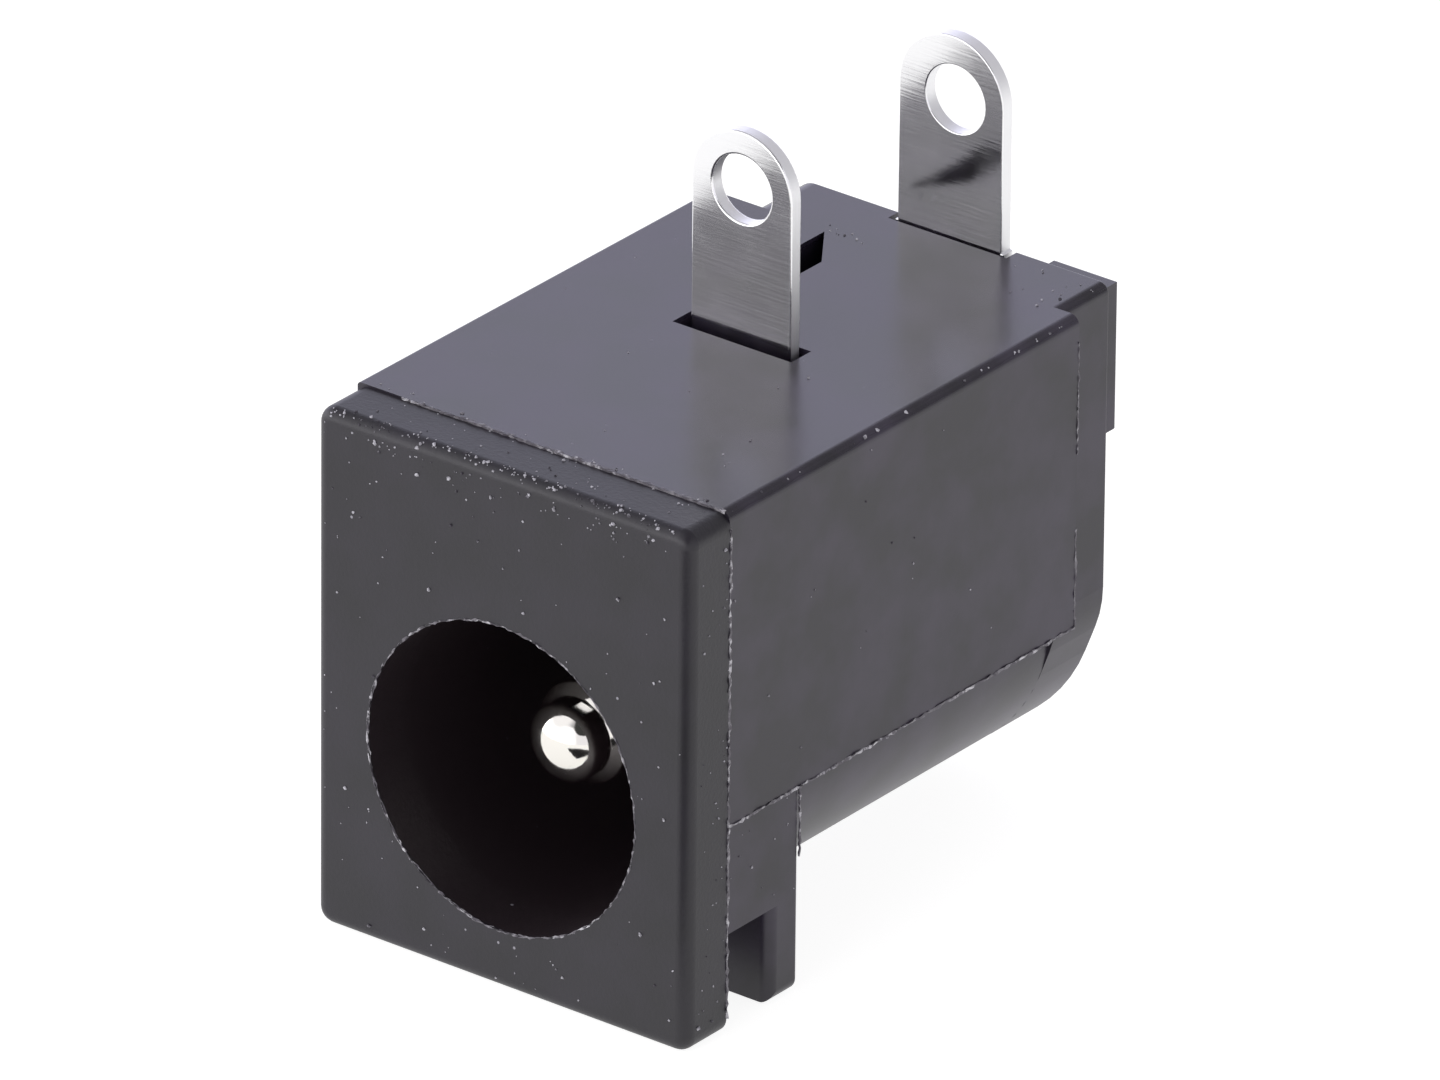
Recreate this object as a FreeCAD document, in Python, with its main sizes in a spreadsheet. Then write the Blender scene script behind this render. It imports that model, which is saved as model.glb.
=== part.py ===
import FreeCAD, Part
import math
import os
import Sketcher
from FreeCAD import Vector

# DC barrel jack with two solder lugs, for a 5.5 mm plug with a 2.1 mm hole.
# Lengths are in millimetres. The origin is the centre of the socket's mouth, on the front face.
# +Y runs back along the plug's axis, +X along the flange and +Z up to the lugs.

# Driving sizes: alias, value, meaning
SIZES = [
    ("flange_width", 9.0, "width of the front flange"),
    ("flange_rise", 6.5, "top of the flange above the plug axis"),
    ("flange_drop", 4.48, "bottom of the flange below the plug axis"),
    ("flange_thickness", 1.24, "front flange, front to back"),
    ("flange_corner", 0.34, "rounding of the flange's four corners"),
    ("flange_edge", 0.27, "rounding of the flange's front edges"),
    ("bore_diameter", 6.45, "socket bore"),
    ("body_width", 8.94, "upper block behind the flange"),
    ("top_step", 0.045, "top of the body above the top of the flange"),
    ("body_end", 12.1, "back of the housing behind the front face"),
    ("left_edge", 0.08, "rounding of the block's long top edge on the left"),
    ("right_edge", 0.22, "rounding of the long top edges on the right"),
    ("barrel_radius", 3.92, "round underside of the body"),
    ("cheek_drop", 0.1, "flat sides below the plug axis"),
    ("foot_width", 8.9, "shoulder and rib below the flat sides"),
    ("shoulder_drop", 2.4, "bottom of the shoulder below the plug axis"),
    ("panel_gap", 1.38, "groove for the edge of a panel"),
    ("rib_thickness", 0.88, "rib behind the panel groove"),
    ("rib_drop", 4.44, "bottom of the rib below the plug axis"),
    ("rib_corner", 0.24, "rounding of the rib's outer corners"),
    ("rib_edge", 0.1, "rounding of the rib's lower back edge"),
    ("slot_front", 7.04, "front wall of the sleeve terminal's slot"),
    ("slot_length", 2.86, "terminal slots, along the flange"),
    ("slot_gap", 0.26, "gap in front of the sleeve terminal in its slot"),
    ("seat_clearance", 0.04, "gap between a piece and the wall it seats against"),
    ("channel_width", 2.2, "spring channel in the roof of the bore"),
    ("channel_front", 3.2, "front of the spring channel"),
    ("channel_top", 4.05, "roof of the spring channel above the plug axis"),
    ("switch_slot_left", 1.6, "left wall of the empty switch slot, left of the axis"),
    ("switch_slot_width", 0.78, "empty switch slot"),
    ("switch_slot_front", 9.3, "front end of the empty switch slot"),
    ("switch_slot_wall", 0.1, "wall between the switch slot and the back of the housing"),
    ("switch_slot_slant", 1.1, "back end of the switch slot, further forward on its right side"),
    ("cover_thickness", 1.52, "rear cover behind the housing"),
    ("cover_bulge", 0.13, "cover's right side beyond the round underside"),
    ("cover_flat_drop", 0.4, "cover's flat right side below the plug axis"),
    ("cover_flank", 2.5, "rounding between the cover's flat right side and the slope below it"),
    ("cover_corner", 0.45, "rounding of the cover's upper left corner"),
    ("cover_edge", 0.06, "rounding of the cover's back edges"),
    ("rail_edge", 0.08, "rounding of the guard rail's back edges"),
    ("cover_notch_width", 0.43, "step in the cover's upper left corner"),
    ("cover_notch_height", 1.7, "height of that step"),
    ("spigot_length", 2.2, "part of the cover that closes the bore"),
    ("spigot_clearance", 0.05, "radial gap between spigot and bore"),
    ("recess_depth", 0.37, "recess for the pin terminal in the cover's back"),
    ("hub_height", 0.06, "pad under the riveted end of the pin terminal"),
    ("hub_radius", 1.35, "radius of that pad"),
    ("recess_margin", 0.18, "gap around the terminal's round end in its recess"),
    ("rail_left", 2.5, "left side of the guard rail on the cover's back"),
    ("rail_low", 3.33, "bottom of the guard rail above the plug axis"),
    ("rail_inset", 0.09, "top of the guard rail below the cover's top"),
    ("rail_side", 0.04, "side of the guard rail inside the cover's side"),
    ("rail_height", 0.34, "guard rail behind the cover"),
    ("pin_diameter", 2.1, "contact pin"),
    ("pin_tip", 1.5, "tip of the pin behind the front face"),
    ("pin_dome", 1.0, "domed end of the pin"),
    ("collar_diameter", 3.0, "collar of the pin, let into the spigot"),
    ("collar_thickness", 0.4, "collar, front to back"),
    ("shank_diameter", 1.5, "shank of the pin through the cover"),
    ("shank_clearance", 0.02, "radial gap around shank and collar"),
    ("rivet_diameter", 2.3, "riveted end of the pin"),
    ("rivet_height", 0.28, "riveted end behind the terminal"),
    ("rivet_rim", 0.1, "straight rim of the riveted end"),
    ("sheet", 0.32, "sheet of both terminals"),
    ("sleeve_lug_width", 2.4, "sleeve terminal's lug"),
    ("sleeve_eye_height", 9.66, "eye and round end of the sleeve lug above the plug axis"),
    ("lug_end_flat", 0.005, "half of the flat left at the top of the sleeve lug's round end"),
    ("eye_diameter", 1.42, "wire eye of each lug"),
    ("barb_low", 4.75, "bottom of the sleeve terminal's holding barbs"),
    ("barb_high", 5.55, "top of those barbs"),
    ("leaf_width", 1.9, "contact spring of the sleeve terminal"),
    ("leaf_root", 3.9, "top of the spring at its root above the plug axis"),
    ("leaf_reach", 2.6, "spring's root to its contact line, along the axis"),
    ("leaf_fall", 23.5, "slope of the spring towards the axis, in degrees"),
    ("leaf_tip", 1.1, "turned-up end of the spring"),
    ("leaf_rise", 60.0, "slope of that end, in degrees"),
    ("bend_radius", 0.35, "inside radius of the spring's bends"),
    ("lug_offset", 0.41, "pin terminal's lug to the right of the plug axis"),
    ("pin_lug_width", 2.5, "pin terminal's lug"),
    ("pin_lug_shoulder", 0.06, "shoulder on each side of the lug's foot"),
    ("shoulder_proud", 0.07, "top of those shoulders above the cover"),
    ("pin_lug_round", 9.56, "centre of the lug's round end above the plug axis"),
    ("pin_eye_height", 9.5, "wire eye above the plug axis"),
    ("pin_eye_offset", 0.1, "wire eye to the right of the lug's middle"),
    ("rivet_pad_radius", 1.6, "round end of the pin terminal, about the pin"),
]

# Formulas shared by pieces that seat on each other
BODY_TOP = "(sizes.flange_rise + sizes.top_step)"
GROOVE_END = "(sizes.flange_thickness + sizes.panel_gap)"
RIB_END = "(sizes.flange_thickness + sizes.panel_gap + sizes.rib_thickness)"
SLEEVE_FRONT = "(sizes.slot_front + sizes.slot_gap)"
SLEEVE_BACK = "(sizes.slot_front + sizes.slot_gap + sizes.sheet)"
SLOT_BACK = "(sizes.slot_front + sizes.slot_gap + sizes.sheet + sizes.seat_clearance)"
SPIGOT_FRONT = "(sizes.body_end - sizes.spigot_length)"
COVER_BACK = "(sizes.body_end + sizes.cover_thickness)"
COVER_RIGHT = "(sizes.barrel_radius + sizes.cover_bulge)"
RECESS_FLOOR = "(sizes.body_end + sizes.cover_thickness - sizes.recess_depth)"
PIN_TERMINAL_FRONT = "(%s + sizes.hub_height)" % RECESS_FLOOR
PIN_TERMINAL_BACK = "(%s + sizes.sheet)" % PIN_TERMINAL_FRONT
SHANK_HOLE_RADIUS = "(sizes.shank_diameter / 2 + sizes.shank_clearance)"

# Numbers closer than this are the same value
NEAR = 1e-4
# An edge this close to a place, in millimetres, is the edge meant
EDGE_REACH = 0.01


def fill_sheet(doc):
    """Write the driving sizes into a spreadsheet, one row each."""
    sheet = doc.addObject("Spreadsheet::Sheet", "sizes")
    for row, (alias, value, meaning) in enumerate(SIZES, start=1):
        sheet.set("A%d" % row, meaning)
        sheet.set("B%d" % row, str(value))
        sheet.setAlias("B%d" % row, alias)
    doc.recompute()
    return sheet


def number(obj, formula):
    """Value of a formula now, as a plain number."""
    value = obj.evalExpression(formula)
    return float(getattr(value, "Value", value))


def new_body(doc, label):
    body = doc.addObject("PartDesign::Body", label)
    body.Label = label
    body.Placement = FreeCAD.Placement()
    return body


def new_sketch(body, name, role, offset=None):
    """Sketch on one of the body's origin planes, moved along the plane's normal by a formula."""
    sketch = body.newObject("Sketcher::SketchObject", name)
    plane = [f for f in body.Origin.OriginFeatures if f.Role == role][0]
    sketch.AttachmentSupport = (plane, [""])
    sketch.MapMode = "FlatFace"
    if offset:
        sketch.setExpression("AttachmentOffset.Base.z", offset)
    return sketch


def front_sketch(body, name, depth):
    """Sketch parallel to the front face, at a depth behind it; its axes are X and Z."""
    return new_sketch(body, name, "XZ_Plane", "-(%s)" % depth)


def dimension(sketch, kind, geometry, point, formula, label):
    """Hold one coordinate of a point at a formula's value from the sketch's origin."""
    value = number(sketch, formula)
    if abs(value) < NEAR:
        axis = -2 if kind == "DistanceX" else -1
        sketch.addConstraint(Sketcher.Constraint("PointOnObject", geometry, point, axis))
        return
    index = sketch.addConstraint(Sketcher.Constraint(kind, -1, 1, geometry, point, value))
    sketch.renameConstraint(index, label)
    sketch.setExpression("Constraints." + label, formula)


def polygon(sketch, corners):
    """Closed outline with straight sides; each corner is a pair of formulas."""
    first = sketch.GeometryCount
    places = [Vector(number(sketch, x), number(sketch, y), 0) for x, y in corners]
    count = len(places)
    for n in range(count):
        sketch.addGeometry(Part.LineSegment(places[n], places[(n + 1) % count]))
    for n in range(count):
        following = first + (n + 1) % count
        sketch.addConstraint(Sketcher.Constraint("Coincident", first + n, 2, following, 1))
    for n, (x, y) in enumerate(corners):
        dimension(sketch, "DistanceX", first + n, 1, x, "x%d" % (first + n))
        dimension(sketch, "DistanceY", first + n, 1, y, "y%d" % (first + n))


def rectangle(sketch, left, right, low, high):
    polygon(sketch, [(left, low), (right, low), (right, high), (left, high)])


def round_topped(sketch, half_width, low, high, right_radius, left_radius):
    """Rectangle about the vertical axis whose two upper corners are rounded."""
    corners = [
        ("-" + half_width, low),
        (half_width, low),
        (half_width, "%s - %s" % (high, right_radius)),
        ("%s - %s" % (half_width, right_radius), high),
        ("-%s + %s" % (half_width, left_radius), high),
        ("-" + half_width, "%s - %s" % (high, left_radius)),
    ]
    places = [Vector(number(sketch, x), number(sketch, y), 0) for x, y in corners]
    count = len(places)
    # The third run rounds the right corner and the fifth the left one
    right_centre = Vector(places[3].x, places[2].y, 0)
    left_centre = Vector(places[4].x, places[5].y, 0)
    arcs = {2: (right_centre, right_radius, 0), 4: (left_centre, left_radius, math.pi / 2)}
    for n in range(count):
        if n in arcs:
            centre, radius, angle = arcs[n]
            whole = Part.Circle(centre, Vector(0, 0, 1), number(sketch, radius))
            sketch.addGeometry(Part.ArcOfCircle(whole, angle, angle + math.pi / 2))
        else:
            sketch.addGeometry(Part.LineSegment(places[n], places[(n + 1) % count]))
    for n, (x, y) in enumerate(corners):
        sketch.addConstraint(Sketcher.Constraint("Coincident", n, 2, (n + 1) % count, 1))
        dimension(sketch, "DistanceX", n, 1, x, "x%d" % n)
        dimension(sketch, "DistanceY", n, 1, y, "y%d" % n)
    for arc, (centre, radius, angle) in arcs.items():
        index = sketch.addConstraint(Sketcher.Constraint("Radius", arc, number(sketch, radius)))
        sketch.renameConstraint(index, "radius%d" % arc)
        sketch.setExpression("Constraints.radius%d" % arc, radius)


def circle(sketch, x, y, radius):
    geometry = sketch.GeometryCount
    centre = Vector(number(sketch, x), number(sketch, y), 0)
    sketch.addGeometry(Part.Circle(centre, Vector(0, 0, 1), number(sketch, radius)))
    dimension(sketch, "DistanceX", geometry, 3, x, "x%d" % geometry)
    dimension(sketch, "DistanceY", geometry, 3, y, "y%d" % geometry)
    index = sketch.addConstraint(Sketcher.Constraint("Radius", geometry, number(sketch, radius)))
    sketch.renameConstraint(index, "radius%d" % geometry)
    sketch.setExpression("Constraints.radius%d" % geometry, radius)


def pad(body, name, sketch, length, backwards=True):
    """Add material behind the sketch; in front of it if backwards is False."""
    feature = body.newObject("PartDesign::Pad", name)
    feature.Profile = sketch
    feature.setExpression("Length", length)
    feature.Reversed = backwards
    body.Document.recompute()
    return feature


def pocket(body, name, sketch, length):
    """Cut behind or below the sketch, and make sure that the cut takes material away."""
    before = body.Shape.Volume
    feature = body.newObject("PartDesign::Pocket", name)
    feature.Profile = sketch
    feature.setExpression("Length", length)
    feature.Reversed = False
    body.Document.recompute()
    if body.Shape.Volume > before - NEAR:
        raise RuntimeError("%s cuts nothing" % name)
    return feature


def revolve(body, name, sketch):
    """Turn a profile about its sketch's vertical axis."""
    feature = body.newObject("PartDesign::Revolution", name)
    feature.Profile = sketch
    feature.ReferenceAxis = (sketch, ["V_Axis"])
    feature.Angle = 360
    body.Document.recompute()
    return feature


def round_edges(body, name, radius, wanted):
    """Fillet every edge of the body's last feature that a test accepts."""
    tip = body.Tip
    edges = ["Edge%d" % n for n, edge in enumerate(tip.Shape.Edges, start=1) if wanted(edge)]
    if not edges:
        raise RuntimeError("%s finds no edge" % name)
    feature = body.newObject("PartDesign::Fillet", name)
    feature.Base = (tip, edges)
    feature.setExpression("Radius", radius)
    body.Document.recompute()
    return feature


def straight(edge, axis):
    """True for a straight edge along an axis given as 0, 1 or 2 for X, Y or Z."""
    if not isinstance(edge.Curve, (Part.Line, Part.LineSegment)):
        return False
    way = edge.tangentAt(edge.FirstParameter)
    return abs(abs(way[axis]) - 1) < NEAR


def at(edge, **places):
    """True if the middle of an edge has the coordinates given, such as x=3.2."""
    middle = edge.CenterOfMass
    return all(abs(getattr(middle, name) - value) < EDGE_REACH for name, value in places.items())


def on_plane(edge, axis, value):
    """True if both ends and the middle of an edge lie at one coordinate."""
    points = [v.Point for v in edge.Vertexes] + [edge.CenterOfMass]
    return all(abs(p[axis] - value) < EDGE_REACH for p in points)


def make_housing(doc, v):
    """One-piece moulding: flange, block with round underside, panel groove, bore and slots."""
    body = new_body(doc, "housing")

    sketch = front_sketch(body, "flange_outline", "0")
    half_flange = "sizes.flange_width / 2"
    rectangle(sketch, "-" + half_flange, half_flange, "-sizes.flange_drop", "sizes.flange_rise")
    pad(body, "flange", sketch, "sizes.flange_thickness")
    round_edges(body, "flange_corners", "sizes.flange_corner", lambda e: straight(e, 1))
    round_edges(body, "flange_front", "sizes.flange_edge", lambda e: on_plane(e, 1, 0))

    behind_flange = "sizes.body_end - sizes.flange_thickness"
    sketch = front_sketch(body, "barrel_outline", "sizes.flange_thickness")
    circle(sketch, "0", "0", "sizes.barrel_radius")
    pad(body, "barrel", sketch, behind_flange)

    sketch = front_sketch(body, "block_outline", "sizes.flange_thickness")
    half_block, cheek_low = "sizes.body_width / 2", "-sizes.cheek_drop"
    round_topped(sketch, half_block, cheek_low, BODY_TOP, "sizes.right_edge", "sizes.left_edge")
    pad(body, "block", sketch, behind_flange)

    sketch = front_sketch(body, "shoulder_outline", "sizes.flange_thickness")
    rectangle(sketch, "-sizes.foot_width / 2", "sizes.foot_width / 2", "-sizes.shoulder_drop", "0")
    pad(body, "shoulder", sketch, "sizes.panel_gap + sizes.rib_thickness")

    sketch = front_sketch(body, "rib_outline", GROOVE_END)
    rectangle(sketch, "-sizes.foot_width / 2", "sizes.foot_width / 2", "-sizes.rib_drop", "0")
    pad(body, "rib", sketch, "sizes.rib_thickness")

    half_foot = v("sizes.foot_width / 2")
    shoulder, rib_low = -v("sizes.shoulder_drop"), -v("sizes.rib_drop")
    groove_end, rib_end = v(GROOVE_END), v(RIB_END)

    def rib_corner(edge):
        middle = edge.CenterOfMass
        if not (at(edge, x=half_foot) or at(edge, x=-half_foot)):
            return False
        low = straight(edge, 1) and at(edge, z=rib_low)
        front = straight(edge, 2) and at(edge, y=groove_end) and middle.z < shoulder
        return low or front

    round_edges(body, "rib_corners", "sizes.rib_corner", rib_corner)
    rib_back = dict(y=rib_end, z=rib_low)
    round_edges(body, "rib_back", "sizes.rib_edge", lambda e: straight(e, 0) and at(e, **rib_back))

    sketch = front_sketch(body, "bore_outline", "0")
    circle(sketch, "0", "0", "sizes.bore_diameter / 2")
    pocket(body, "bore", sketch, "sizes.body_end")

    sketch = new_sketch(body, "sleeve_slot_outline", "XY_Plane", BODY_TOP)
    rectangle(sketch, "-sizes.slot_length / 2", "sizes.slot_length / 2", "sizes.slot_front", SLOT_BACK)
    pocket(body, "sleeve_slot", sketch, BODY_TOP)

    sketch = front_sketch(body, "channel_outline", "sizes.channel_front")
    rectangle(sketch, "-sizes.channel_width / 2", "sizes.channel_width / 2", "0", "sizes.channel_top")
    pocket(body, "spring_channel", sketch, SLOT_BACK + " - sizes.channel_front")

    left = "-sizes.switch_slot_left"
    right = "-sizes.switch_slot_left + sizes.switch_slot_width"
    back = "sizes.body_end - sizes.switch_slot_wall"
    short_back = back + " - sizes.switch_slot_slant"
    front = "sizes.switch_slot_front"
    sketch = new_sketch(body, "switch_slot_outline", "XY_Plane", BODY_TOP)
    polygon(sketch, [(left, front), (right, front), (right, short_back), (left, back)])
    pocket(body, "switch_slot", sketch, BODY_TOP)
    return body


def make_rear_cover(doc, v):
    """Cover on the back of the housing; its spigot closes the bore and holds the pin."""
    body = new_body(doc, "rear_cover")

    sketch = front_sketch(body, "round_outline", "sizes.body_end")
    circle(sketch, "0", "0", "sizes.barrel_radius")
    pad(body, "round_part", sketch, "sizes.cover_thickness")

    # The flat right side ends in a slope that meets the round part without a corner
    drop, left, radius = "sizes.cover_flat_drop", "-sizes.barrel_radius", "sizes.barrel_radius"
    reach = "sqrt(%s ^ 2 + %s ^ 2)" % (COVER_RIGHT, drop)
    turn = "(atan(%s / %s) + acos(%s / %s))" % (drop, COVER_RIGHT, radius, reach)
    meeting = ("%s * cos(%s)" % (radius, turn), "-%s * sin(%s)" % (radius, turn))
    side = [meeting, (COVER_RIGHT, "-" + drop), (COVER_RIGHT, BODY_TOP)]
    sketch = front_sketch(body, "upper_outline", "sizes.body_end")
    polygon(sketch, [(left, "0")] + side + [(left, BODY_TOP)])
    pad(body, "upper_part", sketch, "sizes.cover_thickness")
    flank = dict(x=v(COVER_RIGHT), z=-v(drop))
    round_edges(body, "flank", "sizes.cover_flank", lambda e: straight(e, 1) and at(e, **flank))

    sketch = front_sketch(body, "notch_outline", "sizes.body_end")
    notch_right = "-sizes.barrel_radius + sizes.cover_notch_width"
    notch_low = BODY_TOP + " - sizes.cover_notch_height"
    rectangle(sketch, "-sizes.barrel_radius", notch_right, notch_low, BODY_TOP)
    pocket(body, "corner_notch", sketch, "sizes.cover_thickness")

    back = v(COVER_BACK)
    right_top = dict(x=v(COVER_RIGHT), z=v(BODY_TOP))
    left_top = dict(x=v(notch_right), z=v(BODY_TOP))
    round_edges(body, "side_edge", "sizes.right_edge", lambda e: straight(e, 1) and at(e, **right_top))
    round_edges(body, "upper_left_corner", "sizes.cover_corner", lambda e: straight(e, 1) and at(e, **left_top))
    round_edges(body, "back_edges", "sizes.cover_edge", lambda e: on_plane(e, 1, back))

    sketch = front_sketch(body, "rail_outline", COVER_BACK + " - sizes.rail_height")
    rail_right = COVER_RIGHT + " - sizes.rail_side"
    rail_top = BODY_TOP + " - sizes.rail_inset"
    rectangle(sketch, "sizes.rail_left", rail_right, "sizes.rail_low", rail_top)
    pad(body, "guard_rail", sketch, "2 * sizes.rail_height")
    rail_back = v(COVER_BACK + " + sizes.rail_height")
    round_edges(body, "rail_edges", "sizes.rail_edge", lambda e: on_plane(e, 1, rail_back))

    sketch = front_sketch(body, "spigot_outline", "sizes.body_end")
    circle(sketch, "0", "0", "sizes.bore_diameter / 2 - sizes.spigot_clearance")
    pad(body, "spigot", sketch, "sizes.spigot_length", False)

    sketch = front_sketch(body, "recess_outline", RECESS_FLOOR)
    recess_left = "sizes.lug_offset - sizes.slot_length / 2"
    recess_right = "sizes.lug_offset + sizes.slot_length / 2"
    rectangle(sketch, recess_left, recess_right, "0", BODY_TOP)
    pocket(body, "lug_recess", sketch, "sizes.recess_depth")

    sketch = front_sketch(body, "round_recess_outline", RECESS_FLOOR)
    circle(sketch, "0", "0", "sizes.rivet_pad_radius + sizes.recess_margin")
    pocket(body, "round_recess", sketch, "sizes.recess_depth")

    sketch = front_sketch(body, "hub_outline", RECESS_FLOOR)
    circle(sketch, "0", "0", "sizes.hub_radius")
    pad(body, "hub", sketch, "sizes.hub_height")

    sketch = front_sketch(body, "shank_hole_outline", SPIGOT_FRONT)
    circle(sketch, "0", "0", SHANK_HOLE_RADIUS)
    pocket(body, "shank_hole", sketch, COVER_BACK + " - " + SPIGOT_FRONT)

    sketch = front_sketch(body, "collar_seat_outline", SPIGOT_FRONT)
    circle(sketch, "0", "0", "sizes.collar_diameter / 2 + sizes.shank_clearance")
    pocket(body, "collar_seat", sketch, "sizes.collar_thickness")
    return body


def make_center_pin(doc, v):
    """Turned pin with a domed tip, a collar let into the cover and a riveted end."""
    body = new_body(doc, "center_pin")
    sketch = new_sketch(body, "turned_profile", "XY_Plane")
    tip, shoulder = "sizes.pin_tip", "sizes.pin_tip + sizes.pin_dome"
    collar_back = SPIGOT_FRONT + " + sizes.collar_thickness"
    rim = PIN_TERMINAL_BACK + " + sizes.rivet_rim"
    end = PIN_TERMINAL_BACK + " + sizes.rivet_height"
    radius = "sizes.pin_diameter / 2"
    steps = [
        (radius, shoulder),
        (radius, SPIGOT_FRONT),
        ("sizes.collar_diameter / 2", SPIGOT_FRONT),
        ("sizes.collar_diameter / 2", collar_back),
        ("sizes.shank_diameter / 2", collar_back),
        ("sizes.shank_diameter / 2", PIN_TERMINAL_BACK),
        ("sizes.rivet_diameter / 2", PIN_TERMINAL_BACK),
        ("sizes.rivet_diameter / 2", rim),
    ]
    places = [Vector(v(x), v(y), 0) for x, y in steps]
    for a, b in zip(places, places[1:]):
        sketch.addGeometry(Part.LineSegment(a, b))
    for n in range(len(steps) - 2):
        sketch.addConstraint(Sketcher.Constraint("Coincident", n, 2, n + 1, 1))
    for n, (x, y) in enumerate(steps[:-1]):
        dimension(sketch, "DistanceX", n, 1, x, "x%d" % n)
        dimension(sketch, "DistanceY", n, 1, y, "y%d" % n)
    last = len(steps) - 2
    dimension(sketch, "DistanceX", last, 2, steps[-1][0], "rim_x")
    dimension(sketch, "DistanceY", last, 2, steps[-1][1], "rim_y")

    # Each round end is an arc about a point on the pin's axis
    rivet_arc = add_cap(sketch, v, "sizes.rivet_diameter / 2", rim, end, (last, 2), "rivet")
    dome_arc = add_cap(sketch, v, radius, shoulder, tip, (0, 1), "dome")
    sketch.addGeometry(Part.LineSegment(Vector(0, v(tip), 0), Vector(0, v(end), 0)))
    core = sketch.GeometryCount - 1
    sketch.addConstraint(Sketcher.Constraint("Coincident", core, 1, *dome_arc))
    sketch.addConstraint(Sketcher.Constraint("Coincident", core, 2, *rivet_arc))
    revolve(body, "turned_pin", sketch)
    return body


def add_cap(sketch, v, radius, base, top, joint, label):
    """Arc from a rim point up to the axis; gives back its end on the axis."""
    rim_radius, low, high = v(radius), v(base), v(top)
    height = abs(high - low)
    sphere = (rim_radius ** 2 + height ** 2) / (2 * height)
    centre_y = high - sphere if high > low else high + sphere
    middle_x = rim_radius / 2
    rise = (sphere ** 2 - middle_x ** 2) ** 0.5
    middle_y = centre_y + rise if high > low else centre_y - rise
    rim_point, axis_point = Vector(rim_radius, low, 0), Vector(0, high, 0)
    sketch.addGeometry(Part.Arc(rim_point, Vector(middle_x, middle_y, 0), axis_point))
    arc = sketch.GeometryCount - 1
    start = sketch.getPoint(arc, 1)
    rim_end, axis_end = (1, 2) if start.x > NEAR else (2, 1)
    sketch.addConstraint(Sketcher.Constraint("Coincident", arc, rim_end, *joint))
    sketch.addConstraint(Sketcher.Constraint("PointOnObject", arc, 3, -2))
    dimension(sketch, "DistanceX", arc, axis_end, "0", label + "_x")
    dimension(sketch, "DistanceY", arc, axis_end, top, label + "_y")
    return arc, axis_end


def make_pin_terminal(doc, v):
    """Flat lug riveted to the pin behind the rear cover."""
    body = new_body(doc, "pin_terminal")
    half_foot = "(sizes.pin_lug_width / 2 + sizes.pin_lug_shoulder)"
    half_lug = "sizes.pin_lug_width / 2"

    sketch = front_sketch(body, "rivet_pad_outline", PIN_TERMINAL_FRONT)
    circle(sketch, "0", "0", "sizes.rivet_pad_radius")
    pad(body, "rivet_pad", sketch, "sizes.sheet")

    sketch = front_sketch(body, "foot_outline", PIN_TERMINAL_FRONT)
    foot_top = BODY_TOP + " + sizes.shoulder_proud"
    rectangle(sketch, "sizes.lug_offset - " + half_foot, "sizes.lug_offset + " + half_foot, "0", foot_top)
    pad(body, "foot", sketch, "sizes.sheet")

    sketch = front_sketch(body, "lug_outline", PIN_TERMINAL_FRONT)
    left, right = "sizes.lug_offset - " + half_lug, "sizes.lug_offset + " + half_lug
    rectangle(sketch, left, right, "0", "sizes.pin_lug_round")
    pad(body, "lug", sketch, "sizes.sheet")

    sketch = front_sketch(body, "lug_end_outline", PIN_TERMINAL_FRONT)
    circle(sketch, "sizes.lug_offset", "sizes.pin_lug_round", half_lug)
    pad(body, "lug_end", sketch, "sizes.sheet")

    sketch = front_sketch(body, "eye_outline", PIN_TERMINAL_FRONT)
    eye_x = "sizes.lug_offset + sizes.pin_eye_offset"
    circle(sketch, eye_x, "sizes.pin_eye_height", "sizes.eye_diameter / 2")
    pocket(body, "wire_eye", sketch, "sizes.sheet")

    sketch = front_sketch(body, "shank_hole_outline", PIN_TERMINAL_FRONT)
    circle(sketch, "0", "0", SHANK_HOLE_RADIUS)
    pocket(body, "shank_hole", sketch, "sizes.sheet")
    return body


def leaf_corners():
    """Side view of the sleeve terminal's strip, as (y, z) formulas, down its front and up its back."""
    fall, rise = "sizes.leaf_fall * 1 deg", "sizes.leaf_rise * 1 deg"
    top = "(sizes.sleeve_eye_height + sizes.sleeve_lug_width / 2)"
    root_y, root_z = SLEEVE_FRONT, "sizes.leaf_root"
    touch_y = "(%s - sizes.leaf_reach)" % root_y
    touch_z = "(%s - sizes.leaf_reach * tan(%s))" % (root_z, fall)
    end_y = "(%s - sizes.leaf_tip * cos(%s))" % (touch_y, rise)
    end_z = "(%s + sizes.leaf_tip * sin(%s))" % (touch_z, rise)
    back_z = "(%s - sizes.sheet * cos(%s) / (1 + sin(%s)))" % (root_z, fall, fall)
    spread = "(1 + cos(%s + %s))" % (fall, rise)
    under_y = "(%s + sizes.sheet * (sin(%s) - sin(%s)) / %s)" % (touch_y, fall, rise, spread)
    under_z = "(%s - sizes.sheet * (cos(%s) + cos(%s)) / %s)" % (touch_z, fall, rise, spread)
    low_end_y = "(%s - sizes.sheet * sin(%s))" % (end_y, rise)
    low_end_z = "(%s - sizes.sheet * cos(%s))" % (end_z, rise)
    return dict(
        front_top=(SLEEVE_FRONT, top),
        inner_root=(root_y, root_z),
        inner_touch=(touch_y, touch_z),
        upper_end=(end_y, end_z),
        lower_end=(low_end_y, low_end_z),
        outer_touch=(under_y, under_z),
        outer_root=(SLEEVE_BACK, back_z),
        back_top=(SLEEVE_BACK, top),
    )


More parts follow.
